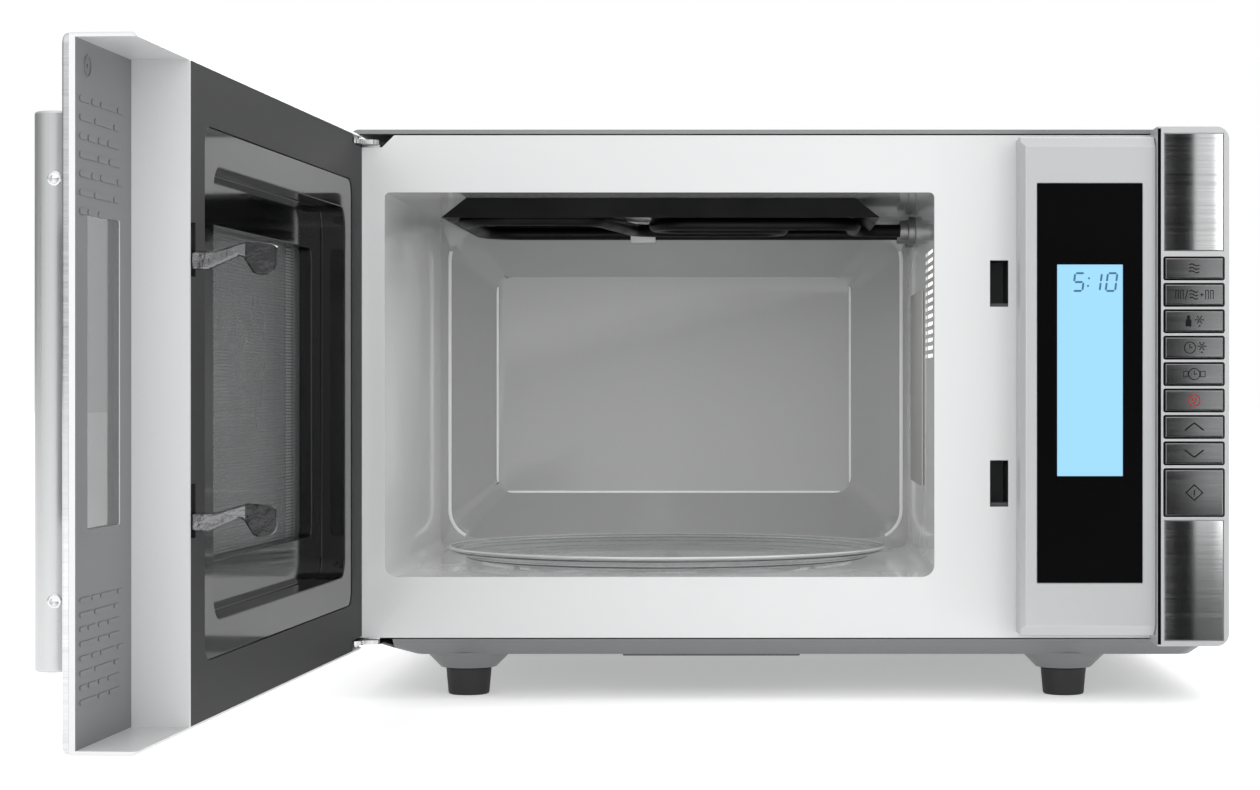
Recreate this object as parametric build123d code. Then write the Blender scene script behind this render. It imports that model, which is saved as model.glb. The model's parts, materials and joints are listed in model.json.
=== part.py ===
"""Countertop microwave oven with grill, door standing open. Millimetres, +Z up, front to -Y.

The parts are laid out in the cabinet's own frame: X = 0 at mid-width, Y = 0 on the face of the
front plate, Z = 0 under the feet. The door is drawn closed and then swung open about its hinge.
PLACE finally moves everything so that the origin is under the middle of the open oven's box.
"""
from build123d import *
import os

# ---- cabinet
HALF_W = 246.5                  # half the width
DEPTH = 360.0                   # front plate to rear panel
TOP = 323.0
SHEET = 1.0                     # steel sheet
PLATE_X = 243.0                 # half width of the front plate
PLATE_Z0, PLATE_Z1 = 35.8, 319.8
HEM_Z = 320.6                   # underside of the casing's folded front hem
HEM_DEPTH = 9.0

# ---- cavity
CAV_X0, CAV_X1 = -226.2, 84.5
CAV_Z0, CAV_Z1 = 70.2, 287.5
CAV_DEPTH = 279.0
CAV_R_LOW, CAV_R_TOP = 7.0, 3.0
DISH_DEPTH = 21.0

# ---- turntable
TABLE_X, TABLE_Y = -71.0, 141.5
TRAY_R = 135.0
TRAY_Z, TRAY_RIM_Z = 71.0, 80.7
WELL_R, WELL_Z = 115.0, 57.2
RING_R = 88.0
ROLLER_R, ROLLER_TRACK = 6.6, 99.0

# ---- feet and base
FOOT_X = (-182.6, 161.8)
FOOT_Y = (40.0, 318.0)
FOOT_H = 16.0
BASE_Z = 25.0

# ---- door, drawn closed
DOOR_OPEN = 93.3                # degrees
PIVOT_X, PIVOT_Y = -242.5, -5.0
DOOR_X0, DOOR_X1 = -246.0, 205.0
DOOR_Z0, DOOR_Z1 = 29.0, 320.2
DOOR_IN, DOOR_OUT = -1.0, -32.0
SKIN_OUT, SKIN_IN = -29.0, -26.4
CHOKE_X1 = 125.5                # free side of the thick, choked part
WALL = 2.0
COVER_W = 25.6                  # width of the choke cover
BEZEL_W = 17.0
LEDGE_W = 23.5
STEP_Y, SCREEN_Y = -14.6, -24.0
PIN_R, BORE_R = 2.5, 2.55
LUG_Z0, LUG_Z1 = 314.5, 317.0
LOW_LUG_Z0, LOW_LUG_Z1 = 32.2, 34.7

# ---- latch
HOOK_X0, HOOK_X1 = 117.0, 122.0
HOOK_Z = (228.1, 115.1)         # underside of each arm

# ---- handle
HANDLE_X, HANDLE_Y, HANDLE_R = 129.5, -58.0, 9.0
HANDLE_Z0, HANDLE_Z1 = 55.4, 295.4
POST_R, POST_Z = 5.0, (86.0, 266.4)

# ---- controls
FASCIA_X0, FASCIA_X1 = 130.8, 206.3
FASCIA_Z0, FASCIA_Z1 = 39.0, 317.0
FASCIA_Y = -25.0
COLUMN_X1, COLUMN_Y = 246.0, -30.0
COLUMN_Z0, COLUMN_Z1 = 33.8, 321.9
PANEL_X0, PANEL_X1 = 140.1, 198.7
PANEL_Z0, PANEL_Z1 = 68.6, 290.8
LCD_X0, LCD_X1 = 151.2, 187.7
LCD_Z0, LCD_Z1 = 128.0, 245.6
KEY_X0, KEY_X1 = 209.9, 243.1
KEY_TOP, KEY_PITCH, KEY_H = 243.25, 14.64, 11.4
START_Z, START_H = 119.0, 25.2
KEY_GAP = 0.5
KEY_Y0, KEY_Y1 = -31.0, -22.0
KEYS = ("microwave_key", "grill_key", "weight_key", "defrost_key", "clock_key",
        "stop_key", "up_key", "down_key", "start_key")
TRIM_Z = ((252.9, 318.3), (36.8, 103.8))

# ---- grill
TUBE_R, TUBE_Z = 4.0, 276.6
PAN_Y0, PAN_Y1, PAN_Z = 44.0, 262.0, 276.1
PAN_X = -71.7                   # middle of the reflector pan
HEATER_Y = (190, 225)           # the element's two ends at the right wall

# ---- machinery behind the controls
FAN_X, FAN_Y, FAN_Z = 172, 325, 246
SHAFT_R, SHAFT_BORE_R = 2.5, 2.55
GLAND_X, GLAND_Z = 205, 70
SCREW_X, SCREW_Z = (-232, 232), (60, 180, 300)
SCREW_R, SCREW_HOLE_R = 1.85, 1.9

# ---- where the origin is, from the cabinet's own frame
PLACE = Pos(39.7, 42.9, 0)
OPEN = Pos(PIVOT_X, PIVOT_Y, 0) * Rot(0, 0, -DOOR_OPEN) * Pos(-PIVOT_X, -PIVOT_Y, 0)


# ---------------------------------------------------------------- helpers
def box(x0, x1, y0, y1, z0, z1):
    return Pos((x0 + x1) / 2, (y0 + y1) / 2, (z0 + z1) / 2) * Box(x1 - x0, y1 - y0, z1 - z0)


def rod(axis, x, y, z, r, length):
    """A round bar centred on x, y, z."""
    turn = {"x": Rot(0, 90, 0), "y": Rot(90, 0, 0), "z": Rot(0, 0, 0)}[axis]
    return Pos(x, y, z) * turn * Cylinder(r, length)


def face_xz(outline, y0, y1):
    """A sketch drawn in X and Z, given thickness from y0 to y1."""
    return Pos(0, y1, 0) * Rot(90, 0, 0) * extrude(outline, y1 - y0)


def rect(x0, x1, z0, z1, r_low=0.0, r_top=None):
    """A rectangle in a sketch, with lower and upper corner radii."""
    shape = Pos((x0 + x1) / 2, (z0 + z1) / 2) * Rectangle(x1 - x0, z1 - z0)
    r_top = r_low if r_top is None else r_top
    if r_low:
        shape = fillet(shape.vertices().sort_by(Axis.Y)[:2], r_low)
    if r_top:
        shape = fillet(shape.vertices().sort_by(Axis.Y)[-2:], r_top)
    return shape


def frame_ring(outer, inner, y0, y1, r_out=0.0, r_in=0.0):
    """A flat picture frame between two rectangles (x0, x1, z0, z1)."""
    return face_xz(rect(*outer, r_out) - rect(*inner, r_in), y0, y1)


def grown(r, d):
    return (r[0] - d, r[1] + d, r[2] - d, r[3] + d)


def save(node, shape, moved=None):
    shape = PLACE * (moved * shape if moved else shape)
    export_step(shape, f"parts/{node}.step")


# ---------------------------------------------------------------- cabinet
def outer_casing():
    outer = box(-HALF_W, HALF_W, 0, DEPTH, 33, TOP)
    outer = fillet(outer.edges().filter_by(Axis.Y).group_by(Axis.Z)[-1], 6)
    shell = outer - box(-HALF_W + SHEET, HALF_W - SHEET, -1, DEPTH + 1, 32, TOP - SHEET)
    hem = box(-HALF_W, HALF_W, 0, HEM_DEPTH, 33, TOP)
    hem = fillet(hem.edges().filter_by(Axis.Y).group_by(Axis.Z)[-1], 6)
    hem -= box(-HALF_W + 2.6, HALF_W - 2.6, -1, HEM_DEPTH + 1, 32, HEM_Z)
    shell += hem
    for row in range(10):                       # intake slots low on the right side
        z = 70 + 7 * row
        shell -= box(HALF_W - 4, HALF_W + 1, 250, 320, z, z + 3)
    for row in range(8):                        # outlet slots high on the left side
        z = 240 + 7 * row
        shell -= box(-HALF_W - 1, -HALF_W + 4, 230, 300, z, z + 3)
    for side in (-1, 1):                        # rear lips that take the screws
        lip = Pos(235.5 * side, DEPTH - 2.2, 178) * Box(20, 2, 276)
        shell += lip - screw_shanks(SCREW_HOLE_R)
    return shell


def screw_shanks(r):
    return [rod("y", x, DEPTH - 4, z, r, 8) for x in SCREW_X for z in SCREW_Z]


def rear_panel():
    panel = box(-HALF_W + SHEET, HALF_W - SHEET, DEPTH - 1.2, DEPTH - 0.2, 34, TOP - SHEET)
    for column in range(9):                     # fan outlet
        x = 120 + 11 * column
        panel -= box(x, x + 5, DEPTH - 3, DEPTH + 1, 205, 285)
    for column in range(12):                    # cavity vent
        x = -190 + 11 * column
        panel -= box(x, x + 5, DEPTH - 3, DEPTH + 1, 262, 300)
    return panel - rod("y", GLAND_X, DEPTH, GLAND_Z, 8.0, 10) - screw_shanks(SCREW_HOLE_R)


def foot_cup():
    """Half section of the pressed cup that reaches down to each foot."""
    return make_face(Polyline((0, 0, FOOT_H), (16, 0, FOOT_H), (25, 0, BASE_Z), (25, 0, BASE_Z + SHEET),
                              (23.5, 0, BASE_Z + SHEET), (15, 0, FOOT_H + SHEET),
                              (0, 0, FOOT_H + SHEET), close=True))


def base_pan():
    y_mid, y_len = 178.0, 352.0

    def tray(grow, z0, z1):
        low = Pos(10, y_mid, z0) * Rectangle(444 - 2 * grow, y_len - 30 - 2 * grow)
        high = Pos(0, y_mid, z1) * Rectangle(486 - 2 * grow, y_len - 2 * grow)
        return loft([fillet(low.vertices(), 8), fillet(high.vertices(), 8)])

    pan = tray(0, BASE_Z, 35.0) - tray(SHEET, BASE_Z + SHEET, 36.0)
    for x in FOOT_X:
        for y in FOOT_Y:
            pan += Pos(x, y, 0) * revolve(foot_cup(), Axis.Z)
            pan -= Pos(x, y, BASE_Z + 0.5) * Cylinder(23, 2.5)
    for row in range(5):
        for side in range(6):
            pan -= box(60 + 18 * side, 72 + 18 * side, 230 + 10 * row, 234 + 10 * row, 24, 27)
    return pan - box(-250, -222, 0, 16.5, 29, 40)       # room for the lower hinge


def feet():
    return Part() + [Pos(x, y, FOOT_H / 2) * Cone(11.75, 13.2, FOOT_H) for x in FOOT_X for y in FOOT_Y]


def front_plate():
    outline = rect(-PLATE_X, PLATE_X, PLATE_Z0, PLATE_Z1, 2)
    outline -= rect(CAV_X0, CAV_X1, CAV_Z0, CAV_Z1, CAV_R_LOW, CAV_R_TOP)
    notch = make_face(Polyline((-PLATE_X - 1, 321), (-219.6, 321), (-227.6, 313.0),
                               (-PLATE_X - 1, 313.0), close=True))
    plate = face_xz(outline - notch, 0, SHEET)
    for z in HOOK_Z:
        plate -= box(116.0, 126.3, -1, 2, z - 5.2, z + 21)
    for z0, z1 in ((PLATE_Z0, PLATE_Z0 + SHEET), (PLATE_Z1 - SHEET, PLATE_Z1)):
        plate += box(-218, 240, 0.5, 12, z0, z1)      # folded top and bottom returns
    return plate


# ---------------------------------------------------------------- cavity
def cavity_liner():
    outer = rect(CAV_X0 - SHEET, CAV_X1 + SHEET, CAV_Z0 - SHEET, CAV_Z1, CAV_R_LOW + SHEET, 0.01)
    inner = rect(CAV_X0, CAV_X1, CAV_Z0, CAV_Z1 + 30, CAV_R_LOW, 0.01)
    liner = face_xz(outer - inner, SHEET, CAV_DEPTH)
    liner -= rod("z", TABLE_X, TABLE_Y, CAV_Z0, WELL_R, 10)
    well = rod("z", TABLE_X, TABLE_Y, (WELL_Z + CAV_Z0) / 2 - SHEET / 2, WELL_R + SHEET,
               CAV_Z0 - WELL_Z + SHEET)
    well -= rod("z", TABLE_X, TABLE_Y, (WELL_Z + CAV_Z0 + 5) / 2, WELL_R, CAV_Z0 - WELL_Z + 5)
    liner += well - rod("z", TABLE_X, TABLE_Y, WELL_Z, 6.5, 10)
    for row in range(14):                       # slots in front of the lamp
        z = 194.5 + 4.6 * row
        liner -= box(CAV_X1 - 1, CAV_X1 + 2, 14, 80, z, z + 2.2)
    liner -= box(CAV_X1 - 1, CAV_X1 + 2, 120, 200, 140, 215)      # waveguide mouth
    for y in HEATER_Y:                          # heater terminals
        liner -= rod("x", CAV_X1, y, TUBE_Z, 5.2, 6)
    return liner


def cavity_ceiling():
    return box(CAV_X0 - SHEET, CAV_X1 + SHEET, SHEET, CAV_DEPTH, CAV_Z1, CAV_Z1 + SHEET)


def cavity_back():
    def dish(grow, y0, y1):
        mouth = rect(-219.9 - grow, 79.9 + grow, 77.0 - grow, 281.0 + grow, 19 + grow)
        floor = rect(-190.6 - grow, 47.0 + grow, 106.9 - grow, 251.8 + grow, 12 + grow)
        turn = Rot(90, 0, 0)
        return loft([Pos(0, y0, 0) * turn * mouth, Pos(0, y1, 0) * turn * floor])

    rim = (CAV_X0 - SHEET, CAV_X1 + SHEET, CAV_Z0 - SHEET, CAV_Z1 + SHEET)
    back = face_xz(rect(*rim, 8, 1), CAV_DEPTH, CAV_DEPTH + SHEET)
    back -= dish(0, CAV_DEPTH - 0.001, CAV_DEPTH + DISH_DEPTH)
    shell = dish(SHEET, CAV_DEPTH, CAV_DEPTH + DISH_DEPTH + SHEET)
    return back + (shell - dish(0, CAV_DEPTH - 0.001, CAV_DEPTH + DISH_DEPTH))


def grill_element():
    right = CAV_X1 + 14
    points = [(right, 225), (-190, 225), (-190, 68), (-112, 68), (-92, 190), (0, 190), (0, 152),
              (-78, 152), (-78, 113), (44, 113), (44, 190), (right, 190)]
    bends = [25, 25, 18, 18, 18.8, 18.8, 19.3, 19.3, 20, 18]
    path = FilletPolyline(*points, radius=bends)
    section = Plane(origin=path @ 0, z_dir=path % 0) * Circle(TUBE_R)
    return Pos(0, 0, TUBE_Z) * sweep(section, path=path)


def grill_reflector():
    def pan(grow, z0, z1):
        y_mid = (PAN_Y0 + PAN_Y1) / 2
        low = Pos(PAN_X, y_mid, z0) * Rectangle(255 - 2 * grow, PAN_Y1 - PAN_Y0 - 2 * grow)
        high = Pos(PAN_X, y_mid, z1) * Rectangle(226 - 2 * grow, PAN_Y1 - PAN_Y0 - 2 * grow)
        return loft([low, high])

    reflector = pan(0, PAN_Z, CAV_Z1) - pan(0.8, PAN_Z - 0.001, CAV_Z1 - 0.8)
    return reflector - box(35, 60, 180, 235, PAN_Z - 1, TUBE_Z + 6)


def grill_clip():
    x0, x1 = -97.0, -81.0
    clip = box(x0, x1, 130, 232, 281.6, 282.6) + box(x0, x1, 231, 232, 270.6, 282)
    clip += box(x0, x1, 217, 232, 270.6, 271.6) + box(x0, x1, 217, 218, 270.6, 276.2)
    clip += box(x0, x1, 130, 131, 282, CAV_Z1 - 0.8)
    return clip


def grill_bushes():
    bushes = Part()
    for y in HEATER_Y:
        bush = rod("x", CAV_X1 - 2.25, y, TUBE_Z, 9, 4.5) + rod("x", CAV_X1 - 7, y, TUBE_Z, 6.5, 5.5)
        bush += rod("x", CAV_X1 + 1.5, y, TUBE_Z, 5.1, 4)
        bushes += bush - rod("x", CAV_X1, y, TUBE_Z, TUBE_R + 0.05, 40)
    return bushes


def waveguide_cover():
    cover = box(CAV_X1 - 1.3, CAV_X1 - 0.3, 96, 218, 118, 236)
    tabs = [box(CAV_X1 - 1.3, CAV_X1, 216, 219.5, z, z + 16) for z in (141, 197)]
    return cover + tabs


# ---------------------------------------------------------------- turntable
def turned(points):
    """A solid of revolution about the turntable's axis, from radius and height pairs."""
    profile = make_face(Polyline(*[(r, 0, z) for r, z in points], close=True))
    return Pos(TABLE_X, TABLE_Y, 0) * revolve(profile, Axis.Z)


def glass_tray():
    return turned([(0, TRAY_Z), (112, TRAY_Z), (128, 76.6), (TRAY_R - 0.6, 79.2), (TRAY_R, 80.0),
                   (TRAY_R - 0.8, TRAY_RIM_Z), (131.5, 80.4), (124, 79.6), (110, 75), (0, 75)])


def turntable_coupler():
    hub = rod("z", TABLE_X, TABLE_Y, 64.5, 9, 12.9)
    for i in range(3):
        arm = Pos(11, 0, 0) * Box(14, 8, 9)
        hub += Pos(TABLE_X, TABLE_Y, 66.45) * Rot(0, 0, 120 * i) * arm
    return hub + rod("z", TABLE_X, TABLE_Y, 56.6, 4, 5)


def at_roller(i, shape):
    """A shape drawn on the +X side, moved to roller position i."""
    return Pos(TABLE_X, TABLE_Y, WELL_Z + 0.3 + ROLLER_R) * Rot(0, 0, 90 + 120 * i) * shape


def roller_ring():
    ring = rod("z", TABLE_X, TABLE_Y, WELL_Z + 0.3 + ROLLER_R, RING_R + 3, 6)
    ring -= rod("z", TABLE_X, TABLE_Y, WELL_Z + 0.3 + ROLLER_R, RING_R - 3, 8)
    for i in range(3):
        ring += at_roller(i, rod("x", RING_R + 9, 0, 0, 1.9, 15))
    return ring


def roller(i):
    wheel = rod("x", ROLLER_TRACK, 0, 0, ROLLER_R, 6) - rod("x", ROLLER_TRACK, 0, 0, 1.95, 8)
    return at_roller(i, wheel)


def turntable_motor():
    body = rod("z", TABLE_X, TABLE_Y, 46.5, 24.5, 15)
    body += box(TABLE_X - 32, TABLE_X + 32, TABLE_Y - 7, TABLE_Y + 7, 52.0, 53.2)
    for side in (-1, 1):
        body += rod("z", TABLE_X + 29 * side, TABLE_Y, 54.7, 3, 3.0)
    return body


# ---------------------------------------------------------------- controls
def control_fascia():
    fascia = box(FASCIA_X0, FASCIA_X1 - 0.3, FASCIA_Y, 0, FASCIA_Z0, FASCIA_Z1)
    ends = [e for e in fascia.edges() if abs(e.center().Y - FASCIA_Y) < 0.01
            and FASCIA_X0 + 1 < e.center().X < FASCIA_X1 - 1]
    fascia = chamfer(ends, 5.5)
    side = [e for e in fascia.edges() if abs(e.center().Y - FASCIA_Y) < 0.01
            and e.center().X < FASCIA_X0 + 1]
    fascia = chamfer(side, 3)
    fascia -= box(FASCIA_X0 + 2, FASCIA_X1 - 2.3, FASCIA_Y + 7, 1, FASCIA_Z0 + 2, FASCIA_Z1 - 2)
    fascia -= box(PANEL_X0, PANEL_X1, FASCIA_Y - 1, FASCIA_Y + 2.5, PANEL_Z0, PANEL_Z1)
    return fascia - box(LCD_X0 - 2, LCD_X1 + 2, FASCIA_Y, FASCIA_Y + 9, LCD_Z0 - 2, LCD_Z1 + 2)


def display_panel():
    panel = rect(PANEL_X0, PANEL_X1, PANEL_Z0, PANEL_Z1, 0.5)
    panel -= rect(LCD_X0, LCD_X1, LCD_Z0, LCD_Z1)
    return face_xz(panel, FASCIA_Y - 0.4, FASCIA_Y + 2.5)


def lcd_display():
    glass = box(LCD_X0, LCD_X1, FASCIA_Y + 0.6, FASCIA_Y + 6, LCD_Z0, LCD_Z1)
    return glass + box(LCD_X0 - 1.5, LCD_X1 + 1.5, FASCIA_Y + 2.6, FASCIA_Y + 6, LCD_Z0 - 1.5, LCD_Z1 + 1.5)


def key_places():
    """Each key's height at its middle and its size."""
    small = [(KEY_TOP - KEY_PITCH * i, KEY_H) for i in range(len(KEYS) - 1)]
    return small + [(START_Z, START_H)]


def key_column():
    column = box(FASCIA_X1, COLUMN_X1, COLUMN_Y, 0, COLUMN_Z0, COLUMN_Z1)
    column = fillet([e for e in column.edges().filter_by(Axis.Y) if e.center().X > COLUMN_X1 - 1], 7)
    column -= box(FASCIA_X1 + 2, COLUMN_X1 - 2, COLUMN_Y + 4, 1, COLUMN_Z0 + 6, COLUMN_Z1 - 6)
    for z0, z1 in TRIM_Z:
        column -= box(KEY_X0, KEY_X1, COLUMN_Y - 1, COLUMN_Y + 1.5, z0, z1)
    for z, height in key_places():
        column -= box(KEY_X0, KEY_X1, COLUMN_Y - 1, COLUMN_Y + 9, z - height / 2 - KEY_GAP,
                      z + height / 2 + KEY_GAP)
    return column


def trim_panels():
    panels = Part()
    for z0, z1 in TRIM_Z:
        middle = (KEY_X0 + KEY_X1) / 2
        arc = ThreePointArc((KEY_X0 + 0.3, COLUMN_Y + 0.2), (middle, COLUMN_Y - 0.9),
                            (KEY_X1 - 0.3, COLUMN_Y + 0.2))
        back = Polyline(arc @ 1, (KEY_X1 - 0.3, COLUMN_Y + 1.5), (KEY_X0 + 0.3, COLUMN_Y + 1.5), arc @ 0)
        panels += Pos(0, 0, z0 + 0.3) * extrude(make_face([arc, back]), z1 - z0 - 0.6)
    return panels


def key(i):
    z, height = key_places()[i]
    cap = box(KEY_X0 + KEY_GAP, KEY_X1 - KEY_GAP, KEY_Y0, KEY_Y1, z - height / 2, z + height / 2)
    cap = fillet([e for e in cap.edges() if abs(e.center().Y - KEY_Y0) < 0.01], 0.8)
    hollow = box(KEY_X0 + 3, KEY_X1 - 3, KEY_Y0 + 3, KEY_Y1 + 1, z - height / 2 + 2, z + height / 2 - 2)
    middle = (KEY_X0 + KEY_X1) / 2
    return cap - hollow + rod("y", middle, (KEY_Y0 + KEY_Y1) / 2 + 1.5, z, 2, KEY_Y1 - KEY_Y0 - 3)


def control_board():
    board = box(FASCIA_X1 + 2.4, COLUMN_X1 - 2.4, -18, -16.4, 60, 300)
    for z, _ in key_places():                   # one tactile switch behind each key
        board += rod("y", (KEY_X0 + KEY_X1) / 2, -19.1, z, 3, 2.2)
    for z in (66, 294):
        board += box(FASCIA_X1 + 2, FASCIA_X1 + 7, -16.5, 0, z - 3, z + 3)
    return board


# ---------------------------------------------------------------- machinery behind the controls
def latch_interlock():
    housing = box(112, 130, SHEET, 46, 98, 262)
    for z in HOOK_Z:
        housing -= box(115.6, 127.2, 0, 43, z - 5.4, z + 21.4)
        housing += box(115, 128, 6, 19, z - 6, z - 3.2)
    return housing


def door_switches():
    switches = Part()
    for z in (140, 190, 244):
        switch = box(130, 140, 14, 42, z - 8, z + 8) + box(134, 136, 10, 14.5, z - 2, z + 2)
        switches += switch
    return switches


def waveguide():
    duct = box(85.5, 125, 116, 240, 136, 219)
    duct -= box(84, 123.5, 118, 238, 138, 217)
    return duct - rod("x", 124, 214, 178, 14, 8)


def magnetron():
    body = box(129, 190, 176, 252, 138, 218)
    for row in range(7):                        # gaps between the cooling fins
        body -= box(131, 188, 170, 260, 145 + 10 * row, 150 + 10 * row)
    body += box(129, 134, 176, 252, 138, 218) + box(125, 129, 184, 244, 148, 208)
    return body + rod("x", 116, 214, 178, 8, 20) + rod("x", 140, 214, 178, 17, 30)


def transformer():
    core = box(140, 232, 62, 140, 36, 104)
    core -= box(160, 176, 60, 142, 46, 94) + box(196, 212, 60, 142, 46, 94)
    coil = box(161, 211, 50, 152, 47, 93) - box(175, 197, 48, 154, 44, 96)
    return Part() + (core - coil) + (coil - core)


def capacitor():
    can = box(96, 128, 262, 350, 120, 172)
    can = fillet(can.edges().filter_by(Axis.Y), 12)
    can += rod("y", 104, 259, 146, 3, 8) + rod("y", 120, 259, 146, 3, 8)
    return can + box(94, 100, 280, 330, 126, DEPTH / 2)


def fan_housing():
    housing = box(112, 225, 300, DEPTH - 1.2, FAN_Z - 50, FAN_Z + 50)
    housing -= rod("y", FAN_X, FAN_Y, FAN_Z, 45, 80)
    spider = box(FAN_X - 4, FAN_X + 4, 304, 310, FAN_Z - 50, FAN_Z + 50)
    spider += box(120, 222, 304, 310, FAN_Z - 4, FAN_Z + 4)
    return housing + spider - rod("y", FAN_X, FAN_Y, FAN_Z, 4, 80)


def fan_motor():
    body = box(FAN_X - 22, FAN_X + 22, 274, 304, FAN_Z - 20, FAN_Z + 20)
    return body - rod("y", FAN_X, 304, FAN_Z, SHAFT_BORE_R, 30)


def fan_blade():
    hub = rod("y", FAN_X, FAN_Y, FAN_Z, 10, 14)
    for i in range(6):
        blade = Pos(25, 0, 0) * Rot(32, 0, 0) * Box(34, 2, 20)
        hub += Pos(FAN_X, FAN_Y, FAN_Z) * Rot(0, 60 * i, 0) * blade
    return hub + rod("y", FAN_X, 307, FAN_Z, SHAFT_R, 30)


def cavity_lamp():
    bulb = rod("x", 97, 60, 224, 8, 16)
    bulb = fillet(bulb.edges().sort_by(Axis.X)[0], 7)
    lamp = bulb + rod("x", 106, 60, 224, 6, 6) + box(108, 110, 48, 92, 206, 242)
    return lamp + box(85.5, 110, 90, 92, 206, 242)


def cord_gland():
    gland = rod("y", GLAND_X, DEPTH - 1, GLAND_Z, 7.9, 14)
    gland += rod("y", GLAND_X, DEPTH + 1.3, GLAND_Z, 11, 3)
    gland += rod("y", GLAND_X, DEPTH - 5, GLAND_Z, 10, 7.6)
    return gland - rod("y", GLAND_X, DEPTH, GLAND_Z, 3.6, 40)


def casing_screws():
    heads = [rod("y", x, DEPTH + 0.9, z, 4, 2.2) for x in SCREW_X for z in SCREW_Z]
    return Part() + screw_shanks(SCREW_R) + heads


def hinge_brackets():
    """Two lugs that stand out of the front plate, each with its riveted hinge pin."""
    def bracket(lug0, lug1, tab0, tab1, pin0, pin1):
        lug = rod("z", PIVOT_X, PIVOT_Y, (lug0 + lug1) / 2, 5, lug1 - lug0)
        lug &= box(DOOR_X0 + 0.2, 0, -20, 20, lug0, lug1)
        tongue = box(PIVOT_X - 0.9, -228.5, -4, 14, lug0, lug1)
        corner = tongue.edges().filter_by(Axis.Z).sort_by(lambda e: e.center().X - e.center().Y)[-1]
        lug += fillet(corner, 5)
        lug += box(PIVOT_X - 1, -229, SHEET, SHEET + 2.5, tab0, tab1)
        return lug + rod("z", PIVOT_X, PIVOT_Y, (pin0 + pin1) / 2, PIN_R, pin1 - pin0)

    upper = bracket(LUG_Z0, LUG_Z1, 288, LUG_Z0 + 1, LUG_Z0, DOOR_Z1 - 0.2)
    lower = bracket(LOW_LUG_Z0, LOW_LUG_Z1, LOW_LUG_Z1 - 1, 62, DOOR_Z0 + 0.2, LOW_LUG_Z1)
    return upper + lower


# ---------------------------------------------------------------- door, drawn closed
DOOR = (DOOR_X0, DOOR_X1, DOOR_Z0, DOOR_Z1)
COVER = (DOOR_X0 + WALL + 0.2, CHOKE_X1 - WALL - 0.2, DOOR_Z0 + WALL + 0.2, DOOR_Z1 - WALL - 0.2)
BEZEL = (PIVOT_X + COVER_W, CHOKE_X1 - COVER_W, DOOR_Z0 + COVER_W + WALL, DOOR_Z1 - COVER_W - WALL)
STEP = grown(BEZEL, -BEZEL_W)
WINDOW = grown(STEP, -LEDGE_W)
DISPLAY = (142.5, 188.5, 119.0, 248.0)


def hinge_room():
    """The space that both hinge lugs need inside the door's corners as it swings."""
    room = Part()
    for z0, z1 in ((312.8, DOOR_Z1 - WALL), (DOOR_Z0 + WALL, 37.0)):
        room += box(DOOR_X0 - 1, PIVOT_X + 24.6, -14, 0, z0, z1)
    return room


def door_panel():
    panel = face_xz(rect(*DOOR, 5), DOOR_OUT, SKIN_OUT)
    panel = fillet([e for e in panel.edges() if abs(e.center().Y - DOOR_OUT) < 0.01], 1.2)
    panel -= face_xz(rect(*grown(WINDOW, 6), 8), DOOR_OUT - 1, 0)
    return panel - face_xz(rect(*DISPLAY, 1.5), DOOR_OUT - 1, 0)


def door_glass():
    return face_xz(rect(*grown(WINDOW, 5.9), 7.9), DOOR_OUT + 0.3, SKIN_OUT - 0.1)


def door_frame():
    frame = face_xz(rect(*DOOR, 2), SKIN_OUT, DOOR_IN)
    corner = [e for e in frame.edges().filter_by(Axis.Z)
              if e.center().X < DOOR_X0 + 1 and e.center().Y > DOOR_IN - 1]
    frame = fillet(corner, 3)
    inside = (DOOR_X0 + WALL, CHOKE_X1 - WALL, DOOR_Z0 + WALL, DOOR_Z1 - WALL)
    frame -= face_xz(rect(*inside, 1), SKIN_IN, 0)
    frame -= box(CHOKE_X1, DOOR_X1 + 1, SKIN_IN, 0, inside[2], inside[3])
    frame -= face_xz(rect(*grown(WINDOW, 1), 3), DOOR_OUT - 1, 0)
    frame -= face_xz(rect(*DISPLAY, 1.5), DOOR_OUT - 1, 0)
    frame -= hinge_room()
    return frame - rod("z", PIVOT_X, PIVOT_Y, 170, BORE_R, 400)


def choke_cover():
    cover = frame_ring(COVER, BEZEL, DOOR_IN - 2, DOOR_IN, 1.5, 9)
    skirt = frame_ring(grown(COVER, -1.5), grown(COVER, -3), SKIN_IN, DOOR_IN - 1.5, 0.5, 0.5)
    skirt -= box(HOOK_X0 - 4, 130, SKIN_IN - 1, 0, 80, 252)
    cover += skirt - hinge_room()
    for z in HOOK_Z:
        cover -= box(115.6, 123.1, -5, 1, z - 3, z + 20.5)
    for z0, z1 in ((312.8, 330), (20, 37.0)):
        cover -= box(DOOR_X0, PIVOT_X + 24.6, -5, 1, z0, z1)
    return cover


def window_bezel():
    bezel = frame_ring(BEZEL, STEP, DOOR_IN - 2.5, DOOR_IN - 0.4, 9, 11)
    bezel += frame_ring(grown(STEP, 2), STEP, STEP_Y - 2, DOOR_IN - 1, 12, 11)
    bezel += frame_ring(grown(STEP, 2), WINDOW, STEP_Y - 2, STEP_Y, 12, 6)
    return bezel + frame_ring(grown(WINDOW, 2), WINDOW, SCREEN_Y + 2.6, STEP_Y - 1, 6, 6)


def inner_window():
    return face_xz(rect(*grown(WINDOW, 5), 6), SCREEN_Y + 0.5, SCREEN_Y + 2.6)


def window_screen():
    screen = rect(*grown(WINDOW, 12), 6)
    rim = frame_ring(grown(WINDOW, 12), grown(WINDOW, 11), SKIN_IN, SCREEN_Y + 0.4, 6, 5)
    return face_xz(screen, SCREEN_Y - 0.5, SCREEN_Y + 0.5) + rim


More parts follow.
